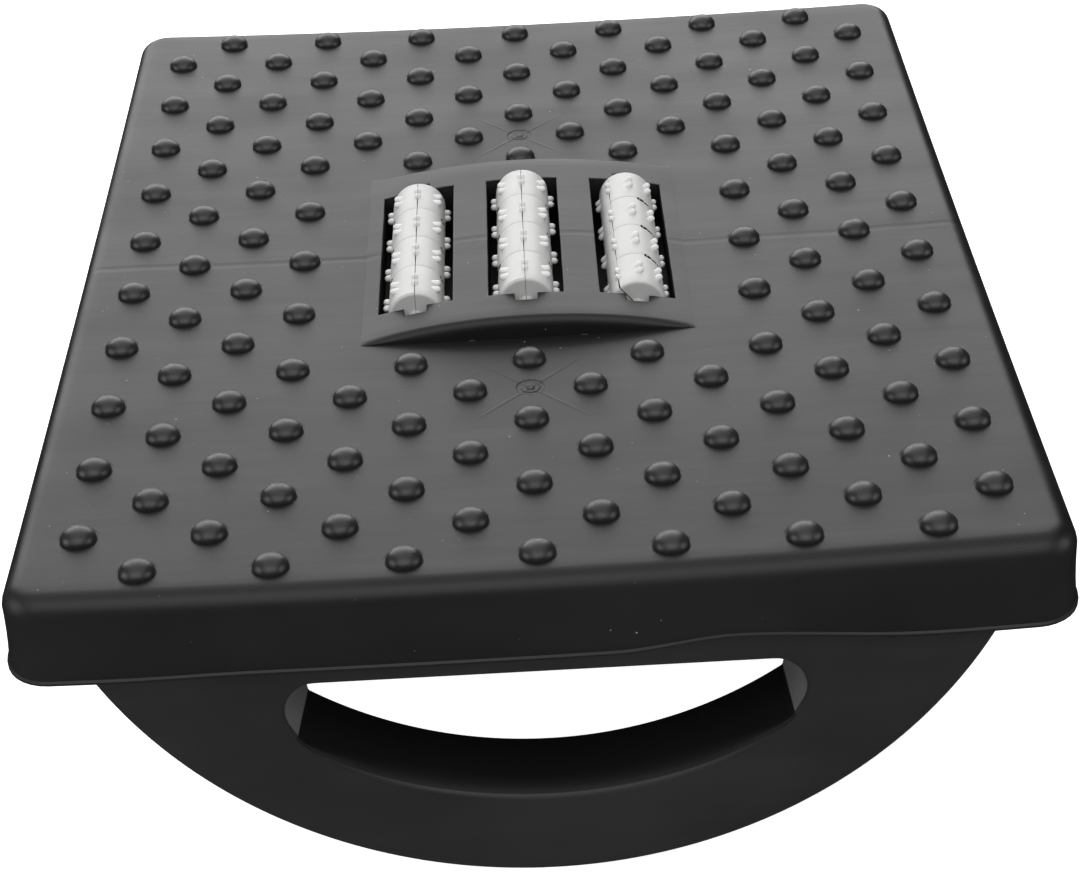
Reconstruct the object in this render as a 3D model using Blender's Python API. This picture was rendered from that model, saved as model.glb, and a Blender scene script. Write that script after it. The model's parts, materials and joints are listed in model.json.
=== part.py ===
"""Rocking foot rest with three massage rollers, as an assembly of moulded pieces.

Frame: metres, +Z up, floor at z = 0. X runs across the rest, the way it rocks. Y runs
from the front leg to the rear leg. The bump field's centre lies on the Z axis.
Heights named *_Z are above the floor; depths named *_DEPTH are below the top face.
"""
import math

import bmesh
import bpy
from mathutils import Matrix, Vector

MM = 0.001
GAP = 0.3 * MM

# Rocking legs: an arc-shaped shell, open on its inner side, with a hand hole through it
ROCKER_RADIUS = 160.5 * MM
ROCKER_FACETS = 57
LEG_FACE_Y = 213.5 * MM
LEG_THICKNESS = 26.5 * MM
LEG_WALL = 2.8 * MM
LEG_TOP_DEPTH = 15.5 * MM
LEG_RIB = 2.0 * MM
FLANGE_HALF_X = 125 * MM
FLANGE_REACH = 23 * MM
# degrees either side of straight down, and depth below the arc's face, of each radial rib
SPOKES = ((10, 36 * MM), (29, 36 * MM), (47, 48 * MM), (62, 40 * MM))
UPRIGHTS_X = (-72 * MM, -36 * MM, 0, 36 * MM, 72 * MM)

# Hand hole: flat top, round ends, curved bottom
HOLE_TOP_DEPTH = 36 * MM
HOLE_BOTTOM_DEPTH = 86.5 * MM
HOLE_BOTTOM_RADIUS = 141.5 * MM
HOLE_END_X = 72.5 * MM
HOLE_END_RADIUS = 12.5 * MM
HOLE_CORNER_X = 71.5 * MM
HOLE_CORNER_RADIUS = 10 * MM
SLEEVE_WALL = 2.4 * MM

# Platform: a tray with its open side down
TOP_Z = 122 * MM
PLATFORM_HALF_X = 171 * MM
PLATFORM_HALF_Y = 215.8 * MM
PLATFORM_CORNER = 13 * MM
EDGE_RADIUS = 6 * MM
SKIRT_HEIGHT = 27.5 * MM
SKIRT_DRAFT = 1.4 * MM
SKIN = 2.8 * MM
SKIRT_WALL = 2.4 * MM
RIB = 2.0 * MM
RIB_DEPTH = 15 * MM
RIB_TOP_DEPTH = 2.24 * MM
RIB_END_INSET = 1.68 * MM
CROSS_RIBS_Y = (0, 58 * MM, 108 * MM, 158 * MM)
LONG_RIBS_X = (20.6 * MM, 64 * MM, 112 * MM)

# Massage bumps, staggered from row to row
BUMP_PITCH = 42.5 * MM
BUMP_ROW_PITCH = 20 * MM
BUMP_ROWS = 21
BUMP_COLUMNS = 7
BUMP_RADIUS = 6 * MM
BUMP_ROOT_RADIUS = 6.5 * MM
BUMP_TIP_RADIUS = 3 * MM
BUMP_HEIGHT = 4.3 * MM

# Arched panel that carries the rollers
CROWN_HALF_X = 60 * MM
CROWN_HALF_Y = 65 * MM
CROWN_LIP = 1 * MM
CROWN_HEIGHT = 8 * MM
CROWN_RADIUS = (CROWN_HALF_X ** 2 + CROWN_HEIGHT ** 2) / (2 * CROWN_HEIGHT)

# Rollers and the wells they turn in
ROLLER_X = 41.2 * MM
ROLLER_RISE = 5.2 * MM
ROLLER_RADIUS = 10.4 * MM
ROLLER_HALF_LENGTH = 44.2 * MM
ROLLER_WALL = 1.8 * MM
SEGMENT_PITCH = 22.9 * MM
SEGMENTS = 4
STUB_RADIUS = 3.0 * MM
STUB_LENGTH = 5.4 * MM
NUB_RADIUS = 1.25 * MM
NUB_ROOT = 9 * MM
NUB_TIP = 12.6 * MM
NUB_SPACING = 4.7 * MM
RIDGE_X = 7.2 * MM
RIDGE_ROOT = 4 * MM
RIDGE_TIP = 9.5 * MM
POST_RADIUS = 2.6 * MM
PIN_RADIUS = 1.2 * MM
PIN_ROOT = 2 * MM
PIN_REACH = 3 * MM
SOCKET_RADIUS = 1.6 * MM
SOCKET_DEPTH = 4 * MM
SLOT_HALF_X = 13.95 * MM
SLOT_HALF_Y = 45.6 * MM
WELL_WALL = 2.25 * MM
WELL_DEPTH = 15.3 * MM
NOTCH_HALF_X = 4.2 * MM
NOTCH_LENGTH = 5.0 * MM
NOTCH_FLOOR = 2.0 * MM
ROLLERS = (("left", -1, 90), ("centre", 0, 90), ("right", 1, 50))

# Screws that hold the legs up against the platform's bosses
SCREW_X = (-112 * MM, -45 * MM, 45 * MM, 112 * MM)
SCREW_Y = 175.5 * MM
BOSS_RADIUS = 4.5 * MM
PILOT_RADIUS = 1.9 * MM
SHANK_RADIUS = 1.6 * MM
SHANK_LENGTH = 12.5 * MM
SHANK_TIP_RADIUS = 1 * MM
HEAD_RADIUS = 3.8 * MM
HEAD_RIM_RADIUS = 3 * MM
HEAD_HEIGHT = 2.2 * MM
RECESS_HALF_LENGTH = 2.3 * MM
RECESS_HALF_WIDTH = 0.5 * MM
RECESS_DEPTH = 1.2 * MM

BLACK = ("black_polypropylene", (0.022, 0.022, 0.023), 0.5, 0.0)
BLACK_LEG = ("black_polypropylene_leg", (0.018, 0.018, 0.019), 0.5, 0.0)
PALE = ("pale_grey_plastic", (0.72, 0.72, 0.71), 0.4, 0.0)
ZINC = ("zinc_plated_steel", (0.55, 0.56, 0.58), 0.35, 1.0)


# ---------------------------------------------------------------- mesh helpers

def finish(bm, name):
    """Turn a bmesh into an object with its faces pointing out."""
    bmesh.ops.recalc_face_normals(bm, faces=bm.faces)
    mesh = bpy.data.meshes.new(name)
    bm.to_mesh(mesh)
    bm.free()
    piece = bpy.data.objects.new(name, mesh)
    bpy.context.scene.collection.objects.link(piece)
    return piece


def add_loft(bm, rings):
    """Closed skin through rings of equal point count, capped at both ends."""
    loops = [[bm.verts.new(point) for point in ring] for ring in rings]
    count = len(loops[0])
    for low, high in zip(loops, loops[1:]):
        for i in range(count):
            j = (i + 1) % count
            bm.faces.new((low[i], low[j], high[j], high[i]))
    bm.faces.new(reversed(loops[0]))
    bm.faces.new(loops[-1])


def loft(name, rings):
    bm = bmesh.new()
    add_loft(bm, rings)
    return finish(bm, name)


def prism_y(name, outline, y0, y1):
    """Outline of (x, z) points pushed along Y."""
    return loft(name, [[(x, y, z) for x, z in outline] for y in (y0, y1)])


def boxes(name, extents):
    """Separate boxes in one object, each given as ((x0, x1), (y0, y1), (z0, z1))."""
    bm = bmesh.new()
    for (x0, x1), (y0, y1), (z0, z1) in extents:
        add_loft(bm, [[(x0, y0, z), (x1, y0, z), (x1, y1, z), (x0, y1, z)] for z in (z0, z1)])
    return finish(bm, name)


def circle(radius, sides, phase=0.0):
    angles = [phase + 2 * math.pi * i / sides for i in range(sides)]
    return [(radius * math.cos(a), radius * math.sin(a)) for a in angles]


def rods_z(name, centres, radius, z0, z1, sides):
    """Separate upright rods in one object."""
    bm = bmesh.new()
    for cx, cy in centres:
        ring = circle(radius, sides, math.pi / sides)
        add_loft(bm, [[(cx + x, cy + y, z) for x, y in ring] for z in (z0, z1)])
    return finish(bm, name)


def arc(cx, cz, radius, start, end, steps):
    """Points (x, z) on an arc, angles in degrees from +X towards +Z."""
    angles = [math.radians(start + (end - start) * i / steps) for i in range(steps + 1)]
    return [(cx + radius * math.cos(a), cz + radius * math.sin(a)) for a in angles]


def combine(target, tool, operation):
    """Boolean the tool into the target and use the tool up."""
    modifier = target.modifiers.new("combine", "BOOLEAN")
    modifier.operation = operation
    modifier.solver = "EXACT"
    modifier.object = tool
    bpy.context.view_layer.update()
    graph = bpy.context.evaluated_depsgraph_get()
    result = bpy.data.meshes.new_from_object(target.evaluated_get(graph))
    target.modifiers.clear()
    target.data = result
    bpy.data.objects.remove(tool, do_unlink=True)


def fuse(target, tool):
    combine(target, tool, "UNION")


def carve(target, tool):
    combine(target, tool, "DIFFERENCE")


def material(spec):
    name, colour, roughness, metallic = spec
    made = bpy.data.materials.get(name) or bpy.data.materials.new(name)
    made.use_nodes = True
    shader = made.node_tree.nodes["Principled BSDF"]
    shader.inputs["Base Color"].default_value = (*colour, 1.0)
    shader.inputs["Roughness"].default_value = roughness
    shader.inputs["Metallic"].default_value = metallic
    return made


def dress(piece, spec, smooth_angle=30):
    """Give the piece its one material and smooth shading between sharp edges."""
    piece.data.materials.clear()
    piece.data.materials.append(material(spec))
    piece.data.shade_smooth()
    piece.data.set_sharp_from_angle(angle=math.radians(smooth_angle))
    return piece


# ---------------------------------------------------------------- platform

def rounded_rectangle(half_x, half_y, radius, z, steps=4):
    points = []
    corners = ((1, 1, 0), (-1, 1, 90), (-1, -1, 180), (1, -1, 270))
    for sx, sy, start in corners:
        centre_x = sx * (half_x - radius)
        centre_y = sy * (half_y - radius)
        points += [(x, y, z) for x, y in arc(centre_x, centre_y, radius, start, start + 90, steps)]
    return points


def tray():
    """Top skin and skirt as one closed wall, from the inner ceiling round to the top face."""
    bottom_z = TOP_Z - SKIRT_HEIGHT
    inner_corner = PLATFORM_CORNER - SKIRT_WALL

    def ring(inset, z, corner):
        return rounded_rectangle(PLATFORM_HALF_X - inset, PLATFORM_HALF_Y - inset, corner, z)

    rings = [
        ring(SKIRT_WALL, TOP_Z - SKIN, inner_corner),
        ring(SKIRT_WALL - SKIRT_DRAFT, bottom_z, inner_corner),
        ring(-SKIRT_DRAFT, bottom_z, PLATFORM_CORNER),
    ]
    for degrees in (0, 30, 60, 90):
        angle = math.radians(degrees)
        inset = EDGE_RADIUS * (1 - math.cos(angle))
        z = TOP_Z - EDGE_RADIUS * (1 - math.sin(angle))
        rings.append(ring(inset, z, PLATFORM_CORNER - inset))
    return loft("platform", rings)


def crown_outline(radius_change, half_x, floor_z, steps=14):
    """Arched top from -half_x to half_x, closed by a flat line at floor_z."""
    radius = CROWN_RADIUS + radius_change
    centre_z = TOP_Z + CROWN_HEIGHT - CROWN_RADIUS
    reach = math.degrees(math.asin(half_x / radius))
    points = arc(0, centre_z, radius, 90 - reach, 90 + reach, steps)
    return points + [(-half_x, floor_z), (half_x, floor_z)]


def crown_height(x):
    """Height of the arched panel above the top face at x."""
    return math.sqrt(CROWN_RADIUS ** 2 - x ** 2) - CROWN_RADIUS + CROWN_HEIGHT


def bump_centres():
    centre_row = (BUMP_ROWS - 1) / 2
    for row in range(BUMP_ROWS):
        y = (centre_row - row) * BUMP_ROW_PITCH
        count = BUMP_COLUMNS + row % 2
        for column in range(count):
            x = (column - (count - 1) / 2) * BUMP_PITCH
            over_crown_x = abs(x) < CROWN_HALF_X + BUMP_RADIUS
            over_crown_y = abs(y) < CROWN_HALF_Y + BUMP_RADIUS
            if not (over_crown_x and over_crown_y):
                yield x, y


def bumps():
    """Low domes rooted a little below the top face."""
    levels = ((BUMP_ROOT_RADIUS, TOP_Z - SKIN / 2), (BUMP_TIP_RADIUS, TOP_Z + BUMP_HEIGHT))
    bm = bmesh.new()
    for cx, cy in bump_centres():
        add_loft(bm, [[(cx + x, cy + y, z) for x, y in circle(r, 6)] for r, z in levels])
    return finish(bm, "bumps")


def roller_axis(side):
    """X and Z of a roller's axis: each one stands the same height out of the arch."""
    x = side * ROLLER_X
    return x, TOP_Z + crown_height(x) + ROLLER_RISE - ROLLER_RADIUS


def wells():
    """Blocks under the arch that the slots are cut into."""
    low_z = TOP_Z - WELL_DEPTH - WELL_WALL
    half_y = SLOT_HALF_Y + NOTCH_LENGTH + WELL_WALL
    steps = 6
    bm = bmesh.new()
    for _, side, _ in ROLLERS:
        centre = side * ROLLER_X
        left = centre - SLOT_HALF_X - WELL_WALL
        width = 2 * (SLOT_HALF_X + WELL_WALL)
        tops = [left + width * i / steps for i in range(steps + 1)]
        outline = [(x, TOP_Z + crown_height(x) - SKIN / 2) for x in tops]
        outline += [(left + width, low_z), (left, low_z)]
        add_loft(bm, [[(x, y, z) for x, z in outline] for y in (-half_y, half_y)])
    return finish(bm, "wells")


def cut_slots(platform):
    """Open the slots, the round bearings of the stubs and the notches that lead down to them."""
    high_z = TOP_Z + 2 * CROWN_HEIGHT
    slots = []
    for _, side, _ in ROLLERS:
        x = side * ROLLER_X
        across = (x - SLOT_HALF_X, x + SLOT_HALF_X)
        slots.append((across, (-SLOT_HALF_Y, SLOT_HALF_Y), (TOP_Z - WELL_DEPTH, high_z)))
    carve(platform, boxes("slots", slots))
    reach = SLOT_HALF_Y + NOTCH_LENGTH
    for _, side, _ in ROLLERS:
        x, z = roller_axis(side)
        bearing = [(x + dx, z + dz) for dx, dz in circle(STUB_RADIUS + GAP, 16, math.pi / 16)]
        carve(platform, prism_y("bearing", bearing, -reach, reach))
        across = (x - NOTCH_HALF_X, x + NOTCH_HALF_X)
        along = (-reach - GAP, reach + GAP)
        carve(platform, boxes("notch", [(across, along, (z + NOTCH_FLOOR, high_z))]))


def rib_boxes(positions, along_y):
    """Ribs at plus and minus each position, their ends rooted in the skirt."""
    inside_x = PLATFORM_HALF_X - RIB_END_INSET
    inside_y = PLATFORM_HALF_Y - RIB_END_INSET
    drop = RIB_DEPTH if along_y else RIB_DEPTH - GAP
    heights = (TOP_Z - drop, TOP_Z - RIB_TOP_DEPTH)
    places = sorted({sign * p for p in positions for sign in (-1, 1)})
    across = [(p - RIB / 2, p + RIB / 2) for p in places]
    if along_y:
        return [(span, (-inside_y, inside_y), heights) for span in across]
    return [((-inside_x, inside_x), span, heights) for span in across]


def build_platform():
    platform = tray()
    arch_y = CROWN_HALF_Y
    lip_x = CROWN_HALF_X + CROWN_LIP
    fuse(platform, prism_y("arch", crown_outline(0, lip_x, TOP_Z - SKIN / 2), -arch_y, arch_y))
    fuse(platform, bumps())
    hollow_x = CROWN_HALF_X - 2 * SKIN
    hollow_y = arch_y - SKIN
    hollow = crown_outline(-SKIN, hollow_x, TOP_Z - 2 * SKIN)
    carve(platform, prism_y("arch_hollow", hollow, -hollow_y, hollow_y))
    fuse(platform, boxes("cross_ribs", rib_boxes(CROSS_RIBS_Y, False)))
    fuse(platform, boxes("long_ribs", rib_boxes(LONG_RIBS_X, True)))
    fuse(platform, wells())
    centres = [(x, side * SCREW_Y) for x in SCREW_X for side in (-1, 1)]
    boss_low = TOP_Z - LEG_TOP_DEPTH + GAP
    fuse(platform, rods_z("bosses", centres, BOSS_RADIUS, boss_low, TOP_Z - SKIN / 2, 12))
    pilot_top = boss_low + SHANK_LENGTH - LEG_WALL
    carve(platform, rods_z("pilots", centres, PILOT_RADIUS, boss_low - MM, pilot_top, 8))
    cut_slots(platform)
    return dress(platform, BLACK)


# ---------------------------------------------------------------- legs

def rocker_centre_z():
    """Height that lets the lowest flat facet lie on the floor."""
    return ROCKER_RADIUS * math.cos(rocker_reach() / ROCKER_FACETS)


def rocker_reach():
    """Half angle of the arc, from straight down to the leg's top edge."""
    return math.acos((ROCKER_RADIUS - TOP_Z + LEG_TOP_DEPTH) / ROCKER_RADIUS)


def rocker_outline(inset):
    """Arc of the leg with a flat top, drawn in by the inset all round."""
    centre_z = rocker_centre_z()
    radius = ROCKER_RADIUS - inset
    top_z = TOP_Z - LEG_TOP_DEPTH - inset
    reach = math.degrees(math.acos((centre_z - top_z) / radius))
    return arc(0, centre_z, radius, -90 - reach, -90 + reach, ROCKER_FACETS)


def hand_hole(grow):
    """Outline of the hand hole, grown outward on all sides."""
    end_z = TOP_Z - HOLE_TOP_DEPTH - HOLE_END_RADIUS
    arc_z = TOP_Z - HOLE_BOTTOM_DEPTH + HOLE_BOTTOM_RADIUS
    corner_reach = HOLE_BOTTOM_RADIUS - HOLE_CORNER_RADIUS
    corner_angle = -math.degrees(math.acos(HOLE_CORNER_X / corner_reach))
    corner_z = arc_z + corner_reach * math.sin(math.radians(corner_angle))
    step = Vector((HOLE_END_X - HOLE_CORNER_X, end_z - corner_z))
    tangent = math.degrees(math.atan2(step.y, step.x))
    tangent -= math.degrees(math.acos((HOLE_CORNER_RADIUS - HOLE_END_RADIUS) / step.length))
    right = arc(HOLE_END_X, end_z, HOLE_END_RADIUS + grow, 90, tangent, 6)
    right += arc(HOLE_CORNER_X, corner_z, HOLE_CORNER_RADIUS + grow, tangent, corner_angle, 2)
    bottom = arc(0, arc_z, HOLE_BOTTOM_RADIUS + grow, corner_angle, -180 - corner_angle, 18)
    left = [(-x, z) for x, z in reversed(right)]
    return right + bottom[1:-1] + left


def spoke(degrees, r0, r1, y0, y1):
    """Flat rib that points at the rocker's centre."""
    bm = bmesh.new()
    half = LEG_RIB / 2
    add_loft(bm, [[(-half, y0, -r), (half, y0, -r), (half, y1, -r), (-half, y1, -r)] for r in (r1, r0)])
    turn = Matrix.Translation((0, 0, rocker_centre_z())) @ Matrix.Rotation(math.radians(degrees), 4, "Y")
    bmesh.ops.transform(bm, matrix=turn, verts=bm.verts)
    return finish(bm, "spoke")


def build_leg(name, side):
    """One leg, modelled at the front (-Y) and turned half round for the rear."""
    face = -LEG_FACE_Y
    back = face + LEG_THICKNESS
    leg = prism_y(name, rocker_outline(0), face, back)
    carve(leg, prism_y("hollow", rocker_outline(LEG_WALL), face + LEG_WALL, back + MM))
    fuse(leg, prism_y("sleeve", hand_hole(SLEEVE_WALL), face + LEG_WALL / 2, back - GAP))
    rib_y = (face + LEG_WALL / 2, back - 2 * MM)
    outer = ROCKER_RADIUS - LEG_WALL / 2
    for degrees, depth in SPOKES:
        for sign in (-1, 1):
            fuse(leg, spoke(sign * degrees, ROCKER_RADIUS - depth, outer, *rib_y))
    plate_z = TOP_Z - LEG_TOP_DEPTH - LEG_WALL
    hole_z = TOP_Z - HOLE_TOP_DEPTH - SLEEVE_WALL / 2
    uprights = []
    for x in UPRIGHTS_X:
        uprights.append(((x - LEG_RIB / 2, x + LEG_RIB / 2), rib_y, (hole_z, plate_z + LEG_WALL / 2)))
    fuse(leg, boxes("uprights", uprights))
    flange_y = (back - 2 * MM, back + FLANGE_REACH)
    flange_z = (plate_z + GAP / 3, plate_z + LEG_WALL - GAP / 3)
    fuse(leg, boxes("flange", [((-FLANGE_HALF_X, FLANGE_HALF_X), flange_y, flange_z)]))
    carve(leg, prism_y("hand_hole", hand_hole(0), face - MM, back + MM))
    holes = [(x, -SCREW_Y) for x in SCREW_X]
    carve(leg, rods_z("screw_holes", holes, PILOT_RADIUS, plate_z - MM, TOP_Z, 8))
    if side > 0:
        leg.data.transform(Matrix.Rotation(math.pi, 4, "Z"))
    return dress(leg, BLACK_LEG)


def build_screw(name, x, y):
    """Pan-head screw with a cross recess, driven upward; origin under its head."""
    head = circle(HEAD_RADIUS, 8)
    rim = circle(HEAD_RIM_RADIUS, 8)
    shank = circle(SHANK_RADIUS, 8)
    tip = circle(SHANK_TIP_RADIUS, 8)
    levels = ((rim, -HEAD_HEIGHT), (head, 0), (shank, 0), (tip, SHANK_LENGTH))
    screw = loft(name, [[(px, py, z) for px, py in ring] for ring, z in levels])
    long, short = RECESS_HALF_LENGTH, RECESS_HALF_WIDTH
    depth = (-HEAD_HEIGHT - MM, -HEAD_HEIGHT + RECESS_DEPTH)
    carve(screw, boxes("slot_x", [((-long, long), (-short, short), depth)]))
    carve(screw, boxes("slot_y", [((-short, short), (-long, long), depth)]))
    screw.location = (x, y, TOP_Z - LEG_TOP_DEPTH - LEG_WALL - GAP)
    return dress(screw, ZINC)


# ---------------------------------------------------------------- rollers

def half_disc(radius, steps):
    """Half a disc above the parting plane, half the parting gap clear of it."""
    start = math.degrees(math.asin(GAP / 2 / radius))
    return arc(0, 0, radius, start, 180 - start, steps)


def nub_rows():
    """Y positions of the paired nubs on every segment."""
    for segment in range(SEGMENTS):
        centre = (segment - (SEGMENTS - 1) / 2) * SEGMENT_PITCH
        yield centre - NUB_SPACING / 2
        yield centre + NUB_SPACING / 2


def build_roller_half(name):
    """One of two identical shells: axis along Y, parting plane z = 0, mould pull along +Z."""
    half = prism_y(name, half_disc(ROLLER_RADIUS, 12), -ROLLER_HALF_LENGTH, ROLLER_HALF_LENGTH)
    stub_y = ROLLER_HALF_LENGTH + STUB_LENGTH
    fuse(half, prism_y("stub", half_disc(STUB_RADIUS, 6), -stub_y, stub_y))
    rows = list(nub_rows())
    fuse(half, rods_z("nubs", [(0, y) for y in rows], NUB_RADIUS, NUB_ROOT, NUB_TIP, 5))
    for side in (-1, 1):
        ridge = [(side * RIDGE_X, y) for y in rows]
        fuse(half, rods_z("ridges", ridge, NUB_RADIUS, RIDGE_ROOT, RIDGE_TIP, 4))
    inner_y = ROLLER_HALF_LENGTH - 2 * MM
    inner = half_disc(ROLLER_RADIUS - ROLLER_WALL, 10)
    inner = [(x, z if z > MM else -MM) for x, z in inner]
    carve(half, prism_y("hollow", inner, -inner_y, inner_y))
    post = SEGMENT_PITCH / 2
    post_top = ROLLER_RADIUS - ROLLER_WALL / 2
    fuse(half, rods_z("posts", [(0, -post), (0, post)], POST_RADIUS, GAP / 2, post_top, 6))
    fuse(half, rods_z("pin", [(0, post)], PIN_RADIUS, -PIN_REACH, PIN_ROOT, 8))
    carve(half, rods_z("socket", [(0, -post)], SOCKET_RADIUS, -MM, SOCKET_DEPTH, 8))
    return dress(half, PALE)


def build_rollers():
    """Two halves on an axle empty each; the second half is turned over onto the first."""
    for label, side, turn in ROLLERS:
        x, z = roller_axis(side)
        axle = bpy.data.objects.new(f"axle_{label}", None)
        axle.location = (x, 0, z)
        axle.rotation_euler = (0, math.radians(turn), 0)
        bpy.context.scene.collection.objects.link(axle)
        for letter, flip in (("a", 0), ("b", math.pi)):
            half = build_roller_half(f"roller_{label}_half_{letter}")
            half.parent = axle
            half.rotation_euler = (flip, 0, 0)


def main():
    for old in list(bpy.data.objects):
        bpy.data.objects.remove(old, do_unlink=True)
    build_platform()
    build_leg("rocker_leg_front", -1)
    build_leg("rocker_leg_rear", 1)
    for place, side in (("front", -1), ("rear", 1)):
        for number, x in enumerate(SCREW_X, start=1):
            build_screw(f"leg_screw_{place}_{number}", x, side * SCREW_Y)
    build_rollers()
    bpy.context.view_layer.update()


main()
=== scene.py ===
"""Looks of the rocking foot rest: tray, legs, screws and rollers on the CAD frame."""

import math

import bmesh
import bpy
from mathutils import Euler, Matrix, Vector
from mathutils.geometry import delaunay_2d_cdt
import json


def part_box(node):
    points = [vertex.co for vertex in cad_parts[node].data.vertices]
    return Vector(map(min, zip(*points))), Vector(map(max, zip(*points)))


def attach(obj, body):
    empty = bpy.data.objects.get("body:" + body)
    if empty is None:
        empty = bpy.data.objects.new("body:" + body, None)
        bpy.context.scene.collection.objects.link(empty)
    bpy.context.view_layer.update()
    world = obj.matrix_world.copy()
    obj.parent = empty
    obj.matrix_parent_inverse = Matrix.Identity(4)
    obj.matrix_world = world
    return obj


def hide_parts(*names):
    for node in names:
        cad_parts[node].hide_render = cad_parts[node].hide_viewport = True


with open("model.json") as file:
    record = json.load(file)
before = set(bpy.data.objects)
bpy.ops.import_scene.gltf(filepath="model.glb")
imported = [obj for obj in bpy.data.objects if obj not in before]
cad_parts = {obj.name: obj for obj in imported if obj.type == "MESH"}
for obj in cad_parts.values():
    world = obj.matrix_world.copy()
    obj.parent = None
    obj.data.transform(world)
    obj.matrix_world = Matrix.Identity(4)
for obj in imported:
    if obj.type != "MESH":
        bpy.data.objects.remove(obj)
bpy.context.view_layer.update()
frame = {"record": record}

# -- sizes, in millimetres
MM = 0.001
TINY = 1e-6


def node_box(name):
    low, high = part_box(name)
    return [c / MM for c in low], [c / MM for c in high]


TRAY_LOW, TRAY_HIGH = node_box("platform")
LEG_LOW, _ = node_box("rocker_leg_front")
JOINTS = {j["child"]: [c / MM for c in j["pos_m"]] for j in frame["record"]["behaviour"]["joints"]}

# tray: plan, rounded edge, skin and skirt
SKIRT_DRAFT = 1.4
HALF_X = (TRAY_HIGH[0] - TRAY_LOW[0]) / 2 - SKIRT_DRAFT
HALF_Y = (TRAY_HIGH[1] - TRAY_LOW[1]) / 2 - SKIRT_DRAFT
CROWN_HEIGHT = 8.0
TOP = TRAY_HIGH[2] - CROWN_HEIGHT
CORNER = 13.0
CORNER_STEPS = 8
SIDE_SPACING = 6.0
EDGE = 7.6
EDGE_DEGREES = (90, 78, 66, 54, 42, 30, 18, 8, 0)
SKIN = 2.8
SKIRT_WALL = 2.4
SKIRT_HEIGHT = 29.5
# share of the way down the skirt, and the inset there: it flares a little and ends in a bead
SKIRT_PROFILE = ((0.2, -0.06), (0.4, -0.22), (0.6, -0.5), (0.8, -0.9), (0.93, -1.2), (0.955, -1.95),
                 (0.985, -1.95), (1.0, -1.6))
SKIRT_FOOT = ((1.0, 0.6), (0.985, 1.0))
COVE_HEIGHT = 3.0
COVE_INSET = 2.5

# the near skirt's lower edge: a wave right of the middle, and lower at the corners
WAVE_START = 22
WAVE_RAMP = 40
WAVE_END = 58
WAVE_FADE = 62
WAVE_RISE = 4.2
NEAR_DROP = 0.7
NEAR_START = 195
NEAR_RAMP = 20
CORNER_DROP = 1.1
CORNER_START = 90
CORNER_RAMP = 50

# domes
PITCH = 42.5
ROW_PITCH = 20.0
ROWS = 21
COLUMNS = 7
DOME_RADIUS = 6.0
DOME_HEIGHT = 4.0
DOME_SIDES = 32
DOME_DEGREES = (3, 9, 16, 24, 33, 43, 54, 66, 78)
# width past the dome and height of the rings round its foot: a flat collar, then a shallow groove
DOME_FOOT = ((1.1, 0.0), (0.55, 0.0), (0.25, -0.12), (0.0, -0.16))
DOME_COLLARS = 2
DOME_COLLAR_REACH = DOME_RADIUS + 1.04
DOME_CLEAR_REACH = DOME_RADIUS + 2

# how much higher the tray stands at its outermost domes than in its middle
DISH_X = 3.5 * PITCH
DISH_Y = 10 * ROW_PITCH
DISH_RISE_X = 1.99
DISH_RISE_Y = 1.88
DISH_TWIST = 1.01

# arched panel
CROWN_X = 61.0
CROWN_Y = 65.0
CROWN_LIP = 0.25
CROWN_SIDE = 0.05
CROWN_TOLERANCE = 0.01
CROWN_COLLAR = 0.7
CROWN_ARCH = CROWN_HEIGHT - CROWN_LIP
CROWN_RADIUS = (CROWN_X ** 2 + CROWN_ARCH ** 2) / (2 * CROWN_ARCH)
CROWN_EDGE = 3.4
CROWN_DROP = 4.6
CROWN_DROP_SHARE = 0.85
CROWN_INSETS = (0.0, 0.08, 0.2, 0.4, 0.7, 1.1, 1.6, 2.2, 2.8, CROWN_EDGE)

# spacing of the points that shape the top face and the ceiling
FACE_BORDER = 11
FACE_SPACING = 9
FACE_CROWN_CLEAR = 3
PANEL_SPACING_X = 3.0
PANEL_SPACING_Y = 6.0
PANEL_SLOT_CLEAR = 1.2
PANEL_SIDE_SPACING = 5.0
CEILING_BORDER = 20
CEILING_SPACING = 15

# slots and the wells under them
SLOT_X = 13.95
SLOT_Y = 45.6
SLOT_CHAMFER = 0.45
SLOT_CHAMFER_MIDDLE = 0.13
SLOT_COLLAR = 0.35
SLOT_SPACING = 4.0
NOTCH_X = 4.2
NOTCH_LENGTH = 5.0
NOTCH_ROOM = 0.8
WELL_WALL = 2.25
WELL_DEPTH = 15.3
WELL_X = SLOT_X + WELL_WALL
WELL_Y = SLOT_Y + NOTCH_LENGTH + WELL_WALL
WELL_SPACING = 8.0

# ribs and screw bosses
RIBS_X = (20.6, 64.0, 112.0)
RIBS_Y = (58.0, 108.0, 158.0)
RIB_SPACING = 9
RIB_TIP = -15.0
RIB_ROOT_HALF = 1.15
RIB_TIP_HALF = 0.85
RIB_FLAT_HALF = 0.6
RIB_EASE = 0.25
RIB_OVERLAP = 0.5
ROOT_DEPTH = 0.6
BOSS_GAP = 0.3
BOSS_EASE = 0.3
BOSS_ROOT_RADIUS = 4.9
BOSS_RADIUS = 4.5
BOSS_FACE_RADIUS = 4.2
BOSS_BORE_RADIUS = 1.95
BOSS_BORE_END_RADIUS = 1.9
BOSS_BORE_DEPTH = 8
BOSS_SIDES = 28
SCREW_X = (-112.0, -45.0, 45.0, 112.0)
SCREW_Y = 175.5

# legs
RADIUS = 160.5
LEG_FACE = -LEG_LOW[1]
LEG_THICKNESS = 26.5
LEG_WALL = 2.8
LEG_TOP = TOP - 15.5
LEG_CENTRE = RADIUS
LEG_STEPS = 96
LEG_TOP_STEPS = 40
LEG_EDGE = 1.6
LEG_EDGE_DEGREES = (0, 22, 45, 68, 90)
LEG_GRID = 10
RIM_EASE = 0.4
RIM_FOLD = 0.3
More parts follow.
